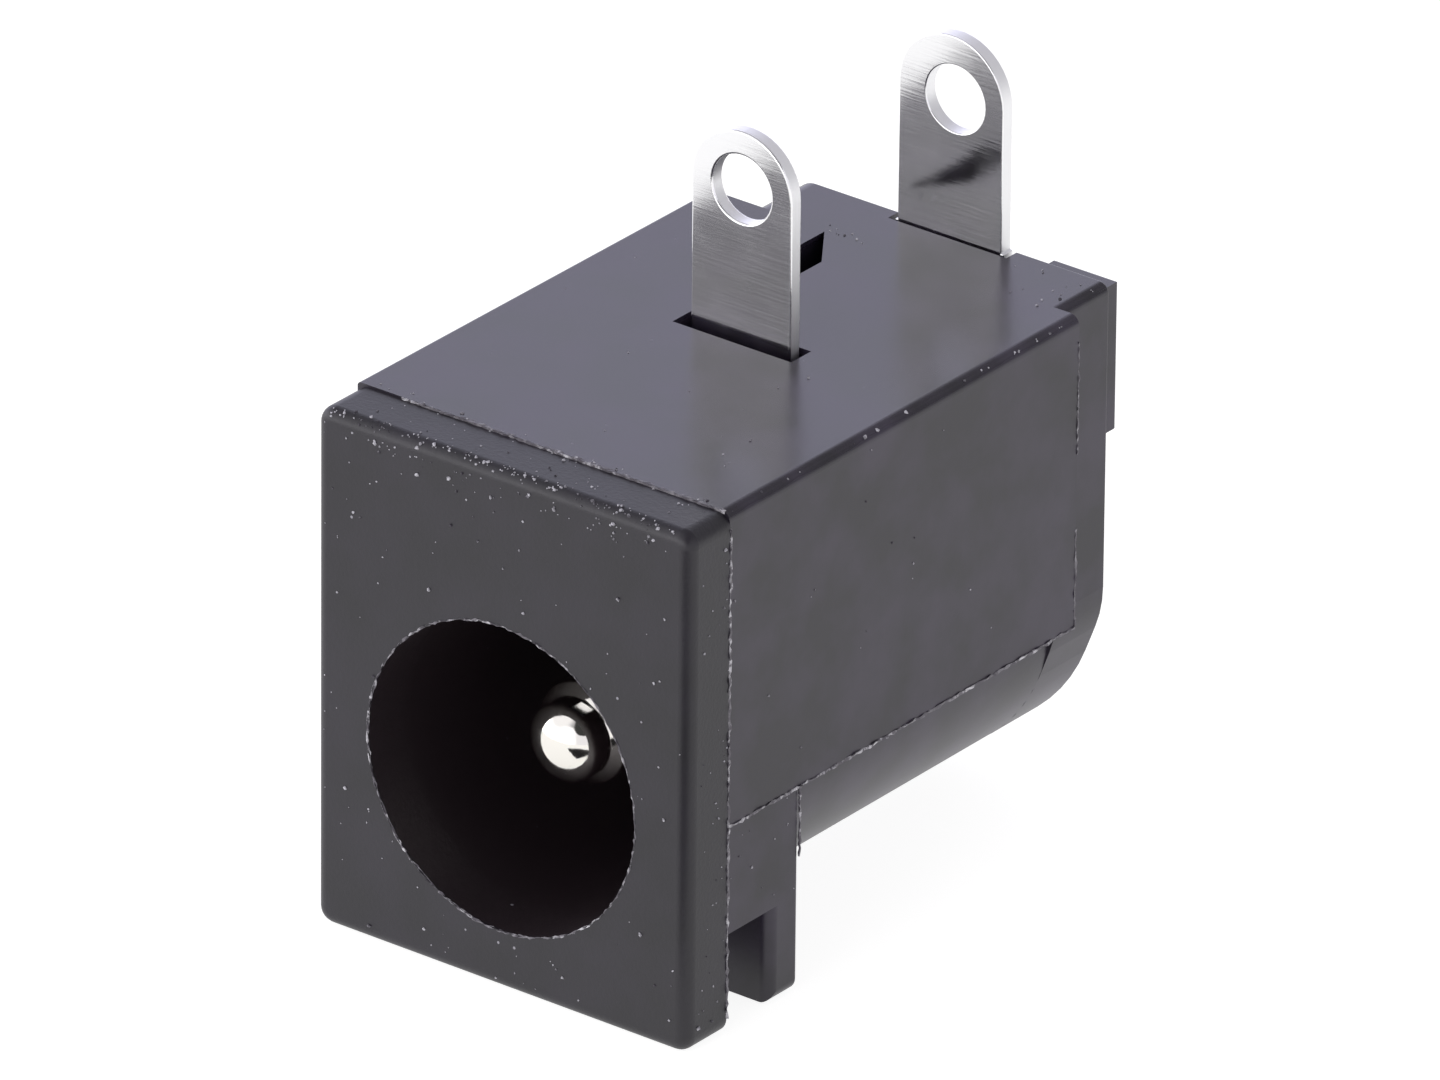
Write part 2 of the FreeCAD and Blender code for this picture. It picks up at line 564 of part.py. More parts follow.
def make_sleeve_terminal(doc, v):
    """Lug in the roof slot, bent forward into the contact spring over the plug's sleeve."""
    body = new_body(doc, "sleeve_terminal")
    corners = leaf_corners()
    sketch = new_sketch(body, "strip_side", "YZ_Plane", "-sizes.sleeve_lug_width / 2")
    polygon(sketch, list(corners.values()))
    pad(body, "strip", sketch, "sizes.sleeve_lug_width", False)

    def bend(*names):
        places = [(v(corners[name][0]), v(corners[name][1])) for name in names]
        return lambda e: straight(e, 0) and any(at(e, y=y, z=z) for y, z in places)

    round_edges(body, "inner_bends", "sizes.bend_radius", bend("inner_root", "inner_touch"))
    round_edges(body, "outer_bends", "sizes.bend_radius + sizes.sheet", bend("outer_root", "outer_touch"))

    # The spring is narrower than the lug
    inner, outer = "sizes.leaf_width / 2", "sizes.sleeve_lug_width"
    for side, left, right in (("left", "-" + outer, "-" + inner), ("right", inner, outer)):
        sketch = front_sketch(body, side + "_waist_outline", "0")
        rectangle(sketch, left, right, "0", "sizes.barb_low")
        pocket(body, side + "_waist", sketch, SLEEVE_BACK)

    sketch = front_sketch(body, "barbs_outline", SLEEVE_FRONT)
    half_barbs = "sizes.slot_length / 2 - sizes.seat_clearance"
    rectangle(sketch, "-(%s)" % half_barbs, half_barbs, "sizes.barb_low", "sizes.barb_high")
    pad(body, "barbs", sketch, "sizes.sheet")

    top = v("sizes.sleeve_eye_height + sizes.sleeve_lug_width / 2")
    lug_end = "sizes.sleeve_lug_width / 2 - sizes.lug_end_flat"
    round_edges(body, "lug_end", lug_end, lambda e: straight(e, 1) and at(e, z=top))

    sketch = front_sketch(body, "eye_outline", SLEEVE_FRONT)
    circle(sketch, "0", "sizes.sleeve_eye_height", "sizes.eye_diameter / 2")
    pocket(body, "wire_eye", sketch, "sizes.sheet")
    return body


def check(doc):
    """Stop if any object failed to build or any shape is empty or unsound."""
    for obj in doc.Objects:
        if "Invalid" in obj.State or "Error" in obj.State:
            raise RuntimeError("%s did not build" % obj.Label)
        if obj.isDerivedFrom("Part::Feature") and not obj.isDerivedFrom("Sketcher::SketchObject"):
            if obj.Shape.isNull() or not obj.Shape.isValid():
                raise RuntimeError("%s has an unsound shape" % obj.Label)


def main():
    doc = FreeCAD.newDocument("barrel_jack")
    sheet = fill_sheet(doc)

    def v(formula):
        return number(sheet, formula)

    bodies = [
        make_housing(doc, v),
        make_rear_cover(doc, v),
        make_center_pin(doc, v),
        make_pin_terminal(doc, v),
        make_sleeve_terminal(doc, v),
    ]
    doc.recompute()
    check(doc)
    os.makedirs("parts", exist_ok=True)
    for body in bodies:
        body.Shape.exportStep("parts/%s.step" % body.Label)


main()
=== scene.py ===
# %% [markdown]
# A DC barrel jack is the small black socket that a round power plug goes into. It is about the
# size of a fingernail, and a close photograph shows every grain of its plastic. The solid model
# already has the right shapes, so this lesson loads it first and then works on what makes it look
# real: light, moulded plastic, tin plating, scratches and the crumbs that moulding leaves behind.

# %% Load the solid model
import math
import random

import bmesh
import bpy
from mathutils import Matrix, Vector


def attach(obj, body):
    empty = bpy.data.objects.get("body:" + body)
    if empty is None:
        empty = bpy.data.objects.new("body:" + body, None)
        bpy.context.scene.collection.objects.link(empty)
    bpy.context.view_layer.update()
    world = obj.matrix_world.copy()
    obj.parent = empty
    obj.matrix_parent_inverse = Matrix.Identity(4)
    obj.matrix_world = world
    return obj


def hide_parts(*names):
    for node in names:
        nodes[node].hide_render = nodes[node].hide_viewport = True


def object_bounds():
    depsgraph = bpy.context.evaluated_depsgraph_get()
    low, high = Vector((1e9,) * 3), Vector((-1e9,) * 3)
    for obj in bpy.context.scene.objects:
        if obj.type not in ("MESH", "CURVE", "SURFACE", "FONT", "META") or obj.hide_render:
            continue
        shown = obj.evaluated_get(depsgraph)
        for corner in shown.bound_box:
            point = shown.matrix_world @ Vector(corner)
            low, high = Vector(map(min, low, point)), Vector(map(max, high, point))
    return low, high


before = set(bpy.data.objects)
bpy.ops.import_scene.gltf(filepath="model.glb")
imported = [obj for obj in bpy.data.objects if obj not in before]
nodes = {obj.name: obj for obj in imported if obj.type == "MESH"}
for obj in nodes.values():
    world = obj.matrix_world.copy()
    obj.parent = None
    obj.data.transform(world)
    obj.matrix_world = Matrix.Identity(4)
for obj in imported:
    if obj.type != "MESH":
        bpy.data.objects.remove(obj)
cad_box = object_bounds()
MM = 0.001
scene = bpy.context.scene
print("solid model:", sorted(nodes))

# %% [markdown]
# The photograph was taken from far away through a long lens, so edges that are parallel on the
# jack stay almost parallel in the picture. A lens of normal length would make the nearest corner
# bulge. The camera stands on a line through the mouth of the socket, given by two angles and a
# distance, and is then slid sideways until the mouth falls on the right pixel of the picture.

# %% Place the camera
PICTURE_WIDTH, PICTURE_HEIGHT = 1440, 1080
AZIMUTH, ELEVATION, ROLL = map(math.radians, (37.665, 26.372, 0.539))
CAMERA_DISTANCE = 423.34 * MM
FOCAL_PIXELS = 22364
MOUTH_PIXEL = (500.41, 779.28)
SENSOR_WIDTH = 36
NEAREST, FARTHEST = 0.01, 5

to_camera = Vector((
    math.sin(AZIMUTH) * math.cos(ELEVATION),
    -math.cos(AZIMUTH) * math.cos(ELEVATION),
    math.sin(ELEVATION),
))
level_right = (-to_camera).cross(Vector((0, 0, 1))).normalized()
level_up = level_right.cross(-to_camera)
picture_right = math.cos(ROLL) * level_right + math.sin(ROLL) * level_up
picture_up = math.cos(ROLL) * level_up - math.sin(ROLL) * level_right
metres_per_pixel = CAMERA_DISTANCE / FOCAL_PIXELS
slide_right = (PICTURE_WIDTH / 2 - MOUTH_PIXEL[0]) * metres_per_pixel
slide_down = (PICTURE_HEIGHT / 2 - MOUTH_PIXEL[1]) * metres_per_pixel

bpy.ops.object.select_all(action="DESELECT")
bpy.ops.object.camera_add()
camera = bpy.context.object
camera.name = "camera"
place = to_camera * CAMERA_DISTANCE + picture_right * slide_right - picture_up * slide_down
turn = Matrix((picture_right, picture_up, to_camera)).transposed().to_4x4()
camera.matrix_world = Matrix.Translation(place) @ turn
camera.data.sensor_width = SENSOR_WIDTH
camera.data.lens = FOCAL_PIXELS / PICTURE_WIDTH * SENSOR_WIDTH
camera.data.clip_start, camera.data.clip_end = NEAREST, FARTHEST
scene.camera = camera
scene.view_settings.view_transform = "Standard"
print("camera lens in mm:", round(camera.data.lens, 1))

# %% [markdown]
# Every material is a small net of nodes. Building one by hand means adding a node, setting its
# values and joining its wires many times over, so one helper does that. A few more helpers name
# the nets that come back in every material: a value stretched to another range, a product, a blend
# of two colours, a noise with grains of a given size. A colour is written as the hex value that a
# picture editor would show, and is turned into the linear light values that Blender computes with.

# %% Helpers for colours and nodes
def linear(hex_colour):
    """Linear colour for a hex value such as 8a8a8a."""
    channels = [int(hex_colour[n:n + 2], 16) / 255 for n in (0, 2, 4)]
    return [c / 12.92 if c <= 0.04045 else ((c + 0.055) / 1.055) ** 2.4 for c in channels] + [1]


def add(tree, kind, **settings):
    """Add a node. A setting names a property or a socket, i0 being the first socket, and gives
    a value or another node's output."""
    node = tree.nodes.new(kind)
    for name, value in settings.items():
        if hasattr(node, name):
            setattr(node, name, value)
            continue
        socket = node.inputs[int(name[1:]) if name[1:].isdigit() else name.replace("_", " ")]
        if isinstance(value, bpy.types.NodeSocket):
            tree.links.new(value, socket)
        else:
            socket.default_value = value
    return node


def spread(tree, value, first, last, low=0, high=1):
    """Stretch the range from first to last over the range from low to high, and stop there."""
    return add(tree, "ShaderNodeMapRange", i0=value, i1=first, i2=last, i3=low, i4=high).outputs[0]


def compute(tree, operation, first, second=0.5):
    """A sum, a product or a comparison of two values."""
    return add(tree, "ShaderNodeMath", operation=operation, i0=first, i1=second).outputs[0]


def between(tree, amount, first, second):
    """Blend of two colours, each a hex value, a tuple of linear values or an output."""
    first, second = (linear(c) if isinstance(c, str) else c for c in (first, second))
    return add(tree, "ShaderNodeMix", data_type="RGBA", i0=amount, i6=first, i7=second).outputs[2]


def noise(tree, where, grain_size, detail, **settings):
    """Noise whose grains are about as big as given, in metres."""
    return add(
        tree, "ShaderNodeTexNoise", Vector=where, Scale=1 / grain_size, Detail=detail, **settings
    ).outputs[0]


def from_axis(tree, where):
    """Distance of a point from the axis of the plug."""
    flat = add(tree, "ShaderNodeVectorMath", operation="MULTIPLY", i0=where, i1=(1, 0, 1))
    length = add(tree, "ShaderNodeVectorMath", operation="LENGTH", i0=flat.outputs[0])
    return length.outputs["Value"]


def new_material(name):
    material = bpy.data.materials.new(name)
    material.use_nodes = True
    material.node_tree.nodes.clear()
    return material, material.node_tree


def coat(tree, **settings):
    """Principled surface with these settings, joined to the output of its material."""
    skin = add(tree, "ShaderNodeBsdfPrincipled", **settings)
    add(tree, "ShaderNodeOutputMaterial", Surface=skin.outputs[0])


def give(obj, material):
    obj.data.materials.clear()
    obj.data.materials.append(material)


print("helpers ready:", "add, spread, compute, between, noise, from_axis, coat")

# %% [markdown]
# The jack was photographed on white, inside a white tent. A tent lights a thing from all sides, so
# there are no hard shadows, and a shiny surface shows the white walls. The world gives that light.
# The walls are bright up to about thirty degrees above the table and a little blue on the left,
# which is what the flat top shows again. Above them the tent is darker, and so is its open door
# behind on the right: the rounded edges look at those parts and turn dark, and this is what draws
# the edges of a black thing. A lamp over the roof's front left part makes the flange's upper front
# edge a little brighter. The dark opening for the camera shows only in the polished pin.

# %% Light: the white tent
# Heights above the table where the walls end and the roof begins, as sines
WALL_TOP, ROOF_BEGINS = math.sin(math.radians(29)), math.sin(math.radians(40))
# Light from each part of the tent, where 1 is the white of the background
WHITE = (1, 1, 1, 1)
WALL_RIGHT = (0.93, 0.92, 0.97, 1)
WALL_BEHIND_LEFT = (1.4, 1.4, 1.7, 1)
WALL_FRONT_LEFT = (2.85, 2.82, 2.9, 1)
DOOR = (0.4, 0.4, 0.42, 1)
ROOF = (0.42, 0.41, 0.44, 1)
LAMP = (1.05, 1.04, 1.08, 1)
CAMERA_OPENING = (0.05, 0.05, 0.05, 1)
# Where each part lies: its direction, and the cosines at which it begins and is full
PARTS_OF_TENT = (
    ((-1, 0, 0), -0.1, 0.45, WALL_BEHIND_LEFT),
    ((-0.6, -0.8, 0), 0.4, 0.8, WALL_FRONT_LEFT),
    ((0.66, 0.7, 0.3), 0.88, 0.98, DOOR),
    ((0, 0, 1), WALL_TOP, ROOF_BEGINS, ROOF),
    ((-0.38, -0.58, 0.72), 0.82, 0.95, LAMP),
    ((0.5, -0.6, 0.62), 0.94, 0.955, CAMERA_OPENING),
)

world = bpy.data.worlds.new("white_tent")
scene.world = world
world.use_nodes = True
tent = world.node_tree
tent.nodes.clear()
direction = add(tent, "ShaderNodeTexCoord").outputs["Generated"]
inside_colour = WALL_RIGHT
for aim, begins, full, colour in PARTS_OF_TENT:
    facing = add(
        tent, "ShaderNodeVectorMath", operation="DOT_PRODUCT", i0=direction, i1=Vector(aim).normalized()
    )
    nearness = add(
        tent, "ShaderNodeMapRange", interpolation_type="SMOOTHSTEP",
        i0=facing.outputs["Value"], i1=begins, i2=full,
    )
    inside_colour = between(tent, nearness.outputs[0], inside_colour, colour)
seen = add(tent, "ShaderNodeLightPath").outputs["Is Camera Ray"]
walls = add(tent, "ShaderNodeBackground", Color=inside_colour, Strength=1)
backdrop = add(tent, "ShaderNodeBackground", Color=WHITE, Strength=1)
mixed = add(tent, "ShaderNodeMixShader", i0=seen, i1=walls.outputs[0], i2=backdrop.outputs[0])
add(tent, "ShaderNodeOutputWorld", Surface=mixed.outputs[0])
print("world:", world.name)

# %% [markdown]
# The jack stands on a light table: a frosted white plate that glows from below and also takes the
# light of the tent. The glow fills the shadow, so only a faint one is left, and it lights the
# underside of the jack, which turns pale where it is seen at a flat angle. The camera sees the glow
# nearly white, and mirror images in the jack show it a little below that. The light which the plate
# throws on the jack is weaker still, or the black plastic would look grey.

# %% The light table
FLOOR_SIZE = 2.0
PLATE_COLOUR = (0.4, 0.4, 0.38, 1)
GLOW_THROWN, GLOW_SEEN, MIRROR_SHARE = 0.74, 0.88, 0.3

floor_height = cad_box[0].z
bpy.ops.object.select_all(action="DESELECT")
bpy.ops.mesh.primitive_plane_add(size=FLOOR_SIZE, location=(0, 0, floor_height))
floor = bpy.context.object
floor.name = "floor"
# Frosted white plate with a light under it: a background that has no end
plate, tree = new_material("frosted_white_plate")
rays = add(tree, "ShaderNodeLightPath")
shown = add(
    tree, "ShaderNodeMath", operation="MULTIPLY_ADD",
    i0=rays.outputs["Is Glossy Ray"], i1=MIRROR_SHARE, i2=rays.outputs["Is Camera Ray"],
)
level = spread(tree, shown.outputs[0], 0, 1, GLOW_THROWN, GLOW_SEEN)
lit = add(tree, "ShaderNodeBsdfDiffuse", Color=PLATE_COLOUR)
glow = add(tree, "ShaderNodeEmission", Color=WHITE, Strength=level)
both = add(tree, "ShaderNodeAddShader", i0=lit.outputs[0], i1=glow.outputs[0])
add(tree, "ShaderNodeOutputMaterial", Surface=both.outputs[0])
give(floor, plate)
print("floor at z in mm:", round(floor_height / MM, 3))

# %% [markdown]
# A photographer of black things lays a black card just outside the picture. Here it lies in front
# on the right. The rounded right edge of the flange shows it as a dark upright line, and so does
# the polished pin. The camera never sees the card itself.

# %% The black card beside the picture
CARD_X, CARD_Y, CARD_LIFT = 10.5, -14.5, 0.05
CARD_WIDTH, CARD_DEPTH = 14, 20
CARD_COLOUR = (0.02, 0.02, 0.02, 1)

bpy.ops.object.select_all(action="DESELECT")
bpy.ops.mesh.primitive_plane_add(
    size=1, location=(CARD_X * MM, CARD_Y * MM, floor_height + CARD_LIFT * MM)
)
card = bpy.context.object
card.name = "black_card"
card.scale = (CARD_WIDTH * MM, CARD_DEPTH * MM, 1)
# Black card board, which gives a dark reflection
board, tree = new_material("black_card_board")
matt = add(tree, "ShaderNodeBsdfDiffuse", Color=CARD_COLOUR)
add(tree, "ShaderNodeOutputMaterial", Surface=matt.outputs[0])
give(card, board)
print("card:", card.name)

# %% [markdown]
# The housing and its rear cover are moulded in black thermoplastic. The steel of the mould was
# spark-eroded, so the flange has a fine grain that breaks the light up, while the long top face is
# smoother and shows the bright wall behind it as a pale haze. The colour is never quite even:
# cloudy patches come from the way the melt flowed, and pale dust clings to the plastic. The flange
# is painted darker, partly for its grain and partly as painted shade on the front of the jack.
# Inside the socket a polished core made the wall, and hardly any light gets in, so the wall there
# gets one dark tone of painted shade.

# %% Moulded black plastic
GRAIN = 0.09 * MM
CLOUD = 1.6 * MM
DUST_SPACING = 0.4 * MM
# The flange's look fades out between these depths, and this share of it stays on the body
FLANGE_ENDS, BODY_BEGINS, BODY_SHARE = 1.15 * MM, 1.3 * MM, 0.15
# How far the flange is darkened: partly for its grain, partly painted shade
FLANGE_PAINTED_SHADE = 0.8
# Painted shade in the bore: its radius, and the depths where it begins and is full
BORE_RADIUS, BORE_SHADE_BEGINS, BORE_SHADE_FULL = 3.3 * MM, 0.01 * MM, 0.08 * MM
SPECK_RADIUS, SPECK_THRESHOLD = 0.075, 0.87
# The top face, above these heights, is smoother than the sides
SATIN_ENDS, SMOOTH_BEGINS = 6.3 * MM, 6.5 * MM
FLANGE_ROUGHNESS, SIDE_ROUGHNESS, TOP_ROUGHNESS = 0.42, 0.36, (0.2, 0.27)
PLASTIC_IOR = 1.53

# Black thermoplastic, moulded against spark-eroded steel: a soft haze over a nearly black body
plastic, tree = new_material("black_moulded_plastic")
where = add(tree, "ShaderNodeTexCoord").outputs["Object"]
parts = add(tree, "ShaderNodeSeparateXYZ", i0=where)
flange_only = spread(tree, parts.outputs["Y"], FLANGE_ENDS, BODY_BEGINS, 1, BODY_SHARE)

# Cloudy tones of the melt. The flange is darkened towards 141218, partly for its grain and partly
# as painted shade that holds the front of the jack dark under the light of the tent and the table.
clouds = noise(tree, where, CLOUD, detail=4)
tone = between(tree, spread(tree, clouds, 0.36, 0.64), "221e27", "373040")
tone = between(tree, compute(tree, "MULTIPLY", flange_only, FLANGE_PAINTED_SHADE), tone, "141218")

# Painted shade: the wall of the bore gets one dark tone from just behind the rim, as little light
# gets into the socket
inside = compute(tree, "LESS_THAN", from_axis(tree, where), BORE_RADIUS)
bore_shade_depth = spread(tree, parts.outputs["Y"], BORE_SHADE_BEGINS, BORE_SHADE_FULL)
tone = between(tree, compute(tree, "MULTIPLY", inside, bore_shade_depth), tone, "2a2226")

# Dust: one cell in eight of a net of cells holds a pale speck
cells = add(tree, "ShaderNodeTexVoronoi", Vector=where, Scale=1 / DUST_SPACING)
cell_number = add(tree, "ShaderNodeSeparateColor", i0=cells.outputs["Color"]).outputs[0]
near_centre = compute(tree, "LESS_THAN", cells.outputs["Distance"], SPECK_RADIUS)
one_in_eight = compute(tree, "GREATER_THAN", cell_number, SPECK_THRESHOLD)
speck = compute(tree, "MULTIPLY", near_centre, one_in_eight)
tone = between(tree, compute(tree, "MULTIPLY", speck, flange_only), tone, "8a8890")

# Grain of the mould, strong on the flange
grain = noise(tree, where, GRAIN, detail=4, Roughness=0.6)
height = compute(tree, "MULTIPLY", grain, flange_only)
bump = add(tree, "ShaderNodeBump", Height=height, Strength=0.5, Distance=0.012 * MM)
smooth = spread(tree, clouds, 0.3, 0.7, *TOP_ROUGHNESS)
satin = spread(tree, parts.outputs["Z"], SATIN_ENDS, SMOOTH_BEGINS, SIDE_ROUGHNESS, smooth)
gloss = spread(tree, flange_only, BODY_SHARE, 1, satin, FLANGE_ROUGHNESS)
coat(tree, Base_Color=tone, Roughness=gloss, Normal=bump.outputs[0], IOR=PLASTIC_IOR)
give(nodes["housing"], plastic)
give(nodes["rear_cover"], plastic)
print("plastic on: housing, rear_cover")

# %% [markdown]
# Both solder lugs are stamped from brass sheet and tin plated. Rolled sheet has hairlines that all
# run one way, and handling adds longer scratches. The plating is not flat like a mirror: it waves
# a little, so the reflection of the black top bends into a curved band. White areas are simply the
# bright table and walls that the metal shows. The rim, where the punch sheared the sheet, is rough
# and shows no images, only an even pale grey.

# %% Tin plating
HAIRLINE = 0.06 * MM
HAIRLINE_STRETCH, HAIRLINE_TURN = (0.05, 1, 1), (0, 0.12, 0)
BLOTCH = 0.9 * MM
WAVE = 4.5 * MM
FACE_ROUGHNESS, RIM_ROUGHNESS = (0.12, 0.18), 0.5

# Tin over stamped brass: bright, slightly wavy, with rolled hairlines, scratches and a rough rim
tin, tree = new_material("tin_plated_brass")
coordinates = add(tree, "ShaderNodeTexCoord")
where = coordinates.outputs["Object"]
stretched = add(
    tree, "ShaderNodeMapping", Vector=where, Scale=HAIRLINE_STRETCH, Rotation=HAIRLINE_TURN
)
hairlines = noise(tree, stretched.outputs[0], HAIRLINE, detail=2)
blotches = noise(tree, where, BLOTCH, detail=2)
face_roughness = spread(tree, blotches, 0.35, 0.7, *FACE_ROUGHNESS)
facing = add(tree, "ShaderNodeSeparateXYZ", i0=coordinates.outputs["Normal"])
flatness = compute(tree, "ABSOLUTE", facing.outputs["Y"])
waves = noise(tree, where, WAVE, detail=0)
wavy = add(tree, "ShaderNodeBump", Height=waves, Strength=1, Distance=0.1 * MM)
scratched = add(
    tree, "ShaderNodeBump", Height=hairlines, Normal=wavy.outputs[0], Strength=0.18, Distance=0.008 * MM
)
coat(
    tree, Metallic=1, Base_Color=between(tree, blotches, "f1f1f2", "fafafb"),
    Roughness=spread(tree, flatness, 0.1, 0.3, RIM_ROUGHNESS, face_roughness),
    Normal=scratched.outputs[0],
)
give(nodes["pin_terminal"], tin)
give(nodes["sleeve_terminal"], tin)
print("tin on: pin_terminal, sleeve_terminal")

# %% [markdown]
# The contact pin is turned from brass and nickel plated, and its tip is polished. On a dome that
# small a few faint turning rings and dull spots are all that tells metal from glass.

# %% Nickel plating
TURNING_MARK = 0.06 * MM
DULL_SPOT = 0.25 * MM

# Bright nickel over turned brass: a warm mirror with faint rings about the axis
nickel, tree = new_material("nickel_plated_pin")
where = add(tree, "ShaderNodeTexCoord").outputs["Object"]
rings = add(
    tree, "ShaderNodeTexNoise", noise_dimensions="1D", W=from_axis(tree, where), Scale=1 / TURNING_MARK
)
turned = add(tree, "ShaderNodeBump", Height=rings.outputs[0], Strength=0.2, Distance=0.003 * MM)
coat(
    tree, Metallic=1, Base_Color=linear("f2efe8"),
    Roughness=spread(tree, noise(tree, where, DULL_SPOT, detail=3), 0.4, 0.75, 0.05, 0.16),
    Normal=turned.outputs[0],
)
give(nodes["center_pin"], nickel)
print("nickel on: center_pin")

# %% [markdown]
# The pin is turned on a lathe, so its whole form is one outline swung about its axis. The solid
# model has a plain domed end. On the real pin the dome is a little smaller than the shaft, and
# behind it a chamfer leads the plug on. The chamfer faces the light at another angle, so it gives a
# second bright spot beside the one on the dome. The outline is a chain of points, spun in a circle.

# %% The turned pin
PIN_TIP, DOME_RADIUS, SHAFT_RADIUS = 1.5, 1.0, 1.05
COLLAR_FRONT, COLLAR_BACK, COLLAR_RADIUS, SHANK_RADIUS = 9.9, 10.3, 1.5, 0.75
RIVET_HEIGHT, RIVET_RIM, RIVET_RADIUS = 0.28, 0.1, 1.15
CLOSING_EDGE = 10 * MM
SPIN_STEPS = 96

pin_end = max(v.co.y for v in nodes["center_pin"].data.vertices) / MM
rivet_front = pin_end - RIVET_HEIGHT
outline = [
    (PIN_TIP + DOME_RADIUS * (1 - math.cos(math.radians(a))), DOME_RADIUS * math.sin(math.radians(a)))
    for a in range(0, 51, 5)
]
# Neck behind the dome, then the chamfer
outline += [
    (1.91, 0.795), (1.98, 0.81), (2.3, 0.805), (2.35, 0.81), (2.37, 0.83), (2.49, 1.02), (2.52, 1.04),
]
# Shaft, collar, shank and riveted end
outline += [
    (2.58, SHAFT_RADIUS), (COLLAR_FRONT, SHAFT_RADIUS), (COLLAR_FRONT, COLLAR_RADIUS),
    (COLLAR_BACK, COLLAR_RADIUS), (COLLAR_BACK, SHANK_RADIUS), (rivet_front, SHANK_RADIUS),
    (rivet_front, RIVET_RADIUS), (rivet_front + RIVET_RIM, RIVET_RADIUS),
    (pin_end - 0.09, 1.0), (pin_end - 0.03, 0.65), (pin_end, 0),
]
# A ring of as many points is bent to the outline and opened where its two ends meet
bpy.ops.object.select_all(action="DESELECT")
bpy.ops.mesh.primitive_circle_add(vertices=len(outline), radius=MM)
pin = bpy.context.object
pin.name = "turned_pin"
bpy.ops.object.mode_set(mode="EDIT")
shape = bmesh.from_edit_mesh(pin.data)
shape.verts.ensure_lookup_table()
for point, (y, r) in zip(shape.verts, outline):
    point.co = Vector((r, y, 0)) * MM
bpy.ops.mesh.select_mode(type="EDGE")
bpy.ops.mesh.select_all(action="DESELECT")
for edge in shape.edges:
    edge.select_set(edge.calc_length() > CLOSING_EDGE)
bpy.ops.mesh.delete(type="EDGE")
bpy.ops.mesh.select_mode(type="VERT")
bpy.ops.mesh.select_all(action="SELECT")
bpy.ops.mesh.spin(steps=SPIN_STEPS, angle=math.tau, center=(0, 0, 0), axis=(0, 1, 0))
bpy.ops.mesh.select_all(action="SELECT")
bpy.ops.mesh.remove_doubles(threshold=0.0005 * MM)
bpy.ops.mesh.normals_make_consistent(inside=False)
bpy.ops.object.mode_set(mode="OBJECT")
bpy.ops.object.shade_smooth_by_angle(angle=math.radians(30))
give(pin, nickel)
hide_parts("center_pin")
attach(pin, "root")
print("turned pin faces:", len(pin.data.polygons), "length in mm:", round(pin_end - PIN_TIP, 2))

# %% [markdown]
# The stamped sheet has no sharp corners: the punch rolls one arris over, tumbling takes off the
# other, and the plating fills what is left. A rounded arris catches a thin bright line of light,
# which a sharp one in the solid model cannot do. So each terminal gets a copy whose arrises are
# bevelled. The copy is first merged into whole faces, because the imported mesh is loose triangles.
# The shoulders at the foot of the rear lug are pressed level with the cover, or they would glint.

# %% Terminals with rounded arrises
ARRIS, ARRIS_SEGMENTS, ARRIS_ANGLE = 0.045 * MM, 3, math.radians(40)
SHOULDER_LOW, SHOULDER_HIGH, SHOULDER_DROP = 6.6 * MM, 6.63 * MM, 0.06 * MM


def rounded_copy(name, node_name):
    """Copy of a solid with its flat faces made whole and its sharp edges bevelled."""
    source = nodes[node_name]
    bpy.ops.object.select_all(action="DESELECT")
    piece = source.copy()
    piece.data = source.data.copy()
    piece.name = name
    scene.collection.objects.link(piece)
    bpy.context.view_layer.objects.active = piece
    piece.select_set(True)
    if piece.data.has_custom_normals:
        bpy.ops.mesh.customdata_custom_splitnormals_clear()
    bpy.ops.object.mode_set(mode="EDIT")
    bpy.ops.mesh.select_all(action="SELECT")
    bpy.ops.mesh.remove_doubles(threshold=0.0005 * MM)
    bpy.ops.mesh.dissolve_limited(angle_limit=math.radians(1))
    bpy.ops.mesh.select_all(action="DESELECT")
    shape = bmesh.from_edit_mesh(piece.data)
    for vertex in shape.verts:
        vertex.select_set(SHOULDER_LOW < vertex.co.z < SHOULDER_HIGH)
    bpy.ops.transform.translate(value=(0, 0, -SHOULDER_DROP))
    bpy.ops.object.mode_set(mode="OBJECT")
    bpy.ops.object.shade_smooth()
    bevel = piece.modifiers.new("arris", "BEVEL")
    bevel.width, bevel.segments = ARRIS, ARRIS_SEGMENTS
    bevel.limit_method, bevel.angle_limit = "ANGLE", ARRIS_ANGLE
    bevel.harden_normals = True
    bpy.ops.object.modifier_apply(modifier=bevel.name)
    print(name, "faces:", len(piece.data.polygons))
    return piece


for name, node_name in (("pin_lug", "pin_terminal"), ("sleeve_lug", "sleeve_terminal")):
    lug = rounded_copy(name, node_name)
    give(lug, tin)
    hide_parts(node_name)
    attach(lug, "root")

# %% [markdown]
# Where the halves of the mould meet, a hair of plastic is squeezed out. This flash is torn off and
# leaves a ragged line, pale where the plastic was stretched. It follows the back edges of the
# flange, the lower edges of the flat sides, the seam of the rear cover and the front edge of the
# top. Each line starts as a thin bar laid into its edge, is cut across many times, and then its
# corners are shaken. All places are in millimetres.

# %% Torn flash along the mould's parting edges
FLASH_STEP = 0.09
SIDE, FLANGE_SIDE, TOP, FLANGE_BACK = 4.47, 4.5, 6.545, 1.24
FOOT_BACK, BODY_END, CHEEK_LOW = 3.5, 12.1, -0.1
